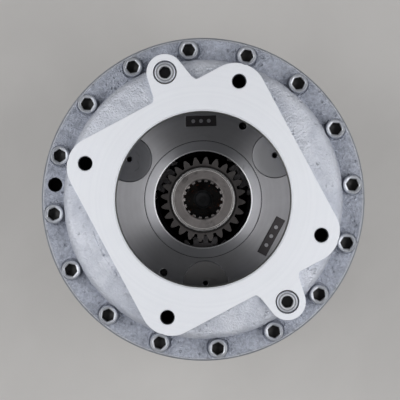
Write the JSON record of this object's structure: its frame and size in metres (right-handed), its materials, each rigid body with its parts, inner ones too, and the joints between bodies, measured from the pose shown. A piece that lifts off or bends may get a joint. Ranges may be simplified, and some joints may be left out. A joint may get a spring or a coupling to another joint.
{
  "type": "swing gearbox",
  "caption": "Two-stage planetary swing gearbox: square motor flange with pilot bore on a bolted round cover, ring gear, cast case with mounting flange, and output pinion.",
  "frame": {"origin": "centre of the mounting flange's underside, on the gearbox axis", "axes": "+Z along the gearbox axis, up to the motor face; +X towards a cover bolt and square to a side of the motor flange; the pinion points to -Z"},
  "size_m": [0.466, 0.4658, 0.532],
  "materials": {
    "cover_casting": "rough sand casting, motor face milled bright",
    "case_casting": "rough sand casting, joint faces milled",
    "turned_steel": "turned",
    "carrier_steel": "turned, oiled",
    "gear_steel": "hobbed and hardened, oiled",
    "ground_steel": "ground",
    "plated_fasteners": "zinc plated",
    "dark_steel": "black oxide",
    "bronze": "machined",
    "copper_washers": "soft, stamped",
    "seal_rubber": "matt"
  },
  "bodies": {
    "housing": {"motor_flange_cover": "cover_casting", "ring_gear": "turned_steel", "drive_case": "case_casting", "cover_bolts": "plated_fasteners", "dowel_pins": "ground_steel", "fill_plug": "plated_fasteners", "level_plug": "plated_fasteners", "plug_seals": "copper_washers", "cover_o_ring": "seal_rubber", "case_o_ring": "seal_rubber", "drain_plug": "plated_fasteners", "drain_seal": "copper_washers", "upper_bearing_cup": "ground_steel", "lower_bearing_cup": "ground_steel", "seal_retainer": "case_casting", "retainer_bolts": "plated_fasteners", "retainer_o_ring": "seal_rubber", "output_oil_seal": "seal_rubber"},
    "output": {"pinion_shaft": "gear_steel", "carrier_2": "carrier_steel", "planet_pins_2": "ground_steel", "lock_pins_2": "dark_steel", "thrust_washers_2": "bronze", "carrier_thrust_ring": "bronze", "shaft_end_plate": "ground_steel", "end_plate_bolts": "plated_fasteners", "upper_bearing_cone": "ground_steel", "lower_bearing_cone": "ground_steel"},
    "first_carrier": {"carrier_1": "carrier_steel", "carrier_1_wear_ring": "carrier_steel", "planet_pins_1": "ground_steel", "lock_pins_1": "dark_steel", "thrust_washers_1": "bronze", "sun_gear_2": "gear_steel", "sun_2_snap_ring": "dark_steel", "thrust_pad": "bronze"},
    "first_sun": {"sun_gear_1": "gear_steel"},
    "planet_1a": {"planet_gear_1a": "gear_steel", "planet_bush_1a": "bronze"},
    "planet_1b": {"planet_gear_1b": "gear_steel", "planet_bush_1b": "bronze"},
    "planet_1c": {"planet_gear_1c": "gear_steel", "planet_bush_1c": "bronze"},
    "planet_2a": {"planet_gear_2a": "gear_steel", "planet_bush_2a": "bronze"},
    "planet_2b": {"planet_gear_2b": "gear_steel", "planet_bush_2b": "bronze"},
    "planet_2c": {"planet_gear_2c": "gear_steel", "planet_bush_2c": "bronze"},
    "upper_roller_set": {"upper_bearing_cage": "bronze", "upper_bearing_rollers": "ground_steel"},
    "lower_roller_set": {"lower_bearing_cage": "bronze", "lower_bearing_rollers": "ground_steel"}
  },
  "joints": [
    {"name": "output_spin", "type": "hinge", "parent": "housing", "child": "output", "pos_m": [0, 0, 0], "axis": [0, 0, 1], "continuous": true},
    {"name": "first_carrier_spin", "type": "hinge", "parent": "housing", "child": "first_carrier", "pos_m": [0, 0, 0.228], "axis": [0, 0, 1], "continuous": true},
    {"name": "first_sun_spin", "type": "hinge", "parent": "housing", "child": "first_sun", "pos_m": [0, 0, 0.228], "axis": [0, 0, 1], "continuous": true},
    {"name": "planet_1a_spin", "type": "hinge", "parent": "first_carrier", "child": "planet_1a", "pos_m": [0.1058, 0.00647, 0.228], "axis": [0, 0, 1], "continuous": true},
    {"name": "planet_1b_spin", "type": "hinge", "parent": "first_carrier", "child": "planet_1b", "pos_m": [-0.05851, 0.08839, 0.228], "axis": [0, 0, 1], "continuous": true},
    {"name": "planet_1c_spin", "type": "hinge", "parent": "first_carrier", "child": "planet_1c", "pos_m": [-0.0473, -0.09486, 0.228], "axis": [0, 0, 1], "continuous": true},
    {"name": "planet_2a_spin", "type": "hinge", "parent": "output", "child": "planet_2a", "pos_m": [0.07814, 0.06556, 0.145], "axis": [0, 0, 1], "continuous": true},
    {"name": "planet_2b_spin", "type": "hinge", "parent": "output", "child": "planet_2b", "pos_m": [-0.09585, 0.03489, 0.145], "axis": [0, 0, 1], "continuous": true},
    {"name": "planet_2c_spin", "type": "hinge", "parent": "output", "child": "planet_2c", "pos_m": [0.01771, -0.10045, 0.145], "axis": [0, 0, 1], "continuous": true},
    {"name": "upper_roller_spin", "type": "hinge", "parent": "housing", "child": "upper_roller_set", "pos_m": [0, 0, 0.054], "axis": [0, 0, 1], "continuous": true},
    {"name": "lower_roller_spin", "type": "hinge", "parent": "housing", "child": "lower_roller_set", "pos_m": [0, 0, -0.066], "axis": [0, 0, 1], "continuous": true}
  ],
  "couplings": [
    {"joint": "first_carrier_spin", "follows": "output_spin", "ratio": 4.8571},
    {"joint": "first_sun_spin", "follows": "output_spin", "ratio": 21.25},
    {"joint": "planet_1a_spin", "follows": "output_spin", "ratio": -14.051},
    {"joint": "planet_1b_spin", "follows": "output_spin", "ratio": -14.051},
    {"joint": "planet_1c_spin", "follows": "output_spin", "ratio": -14.051},
    {"joint": "planet_2a_spin", "follows": "output_spin", "ratio": -2.7},
    {"joint": "planet_2b_spin", "follows": "output_spin", "ratio": -2.7},
    {"joint": "planet_2c_spin", "follows": "output_spin", "ratio": -2.7},
    {"joint": "upper_roller_spin", "follows": "output_spin", "ratio": 0.4484},
    {"joint": "lower_roller_spin", "follows": "output_spin", "ratio": 0.447}
  ]
}
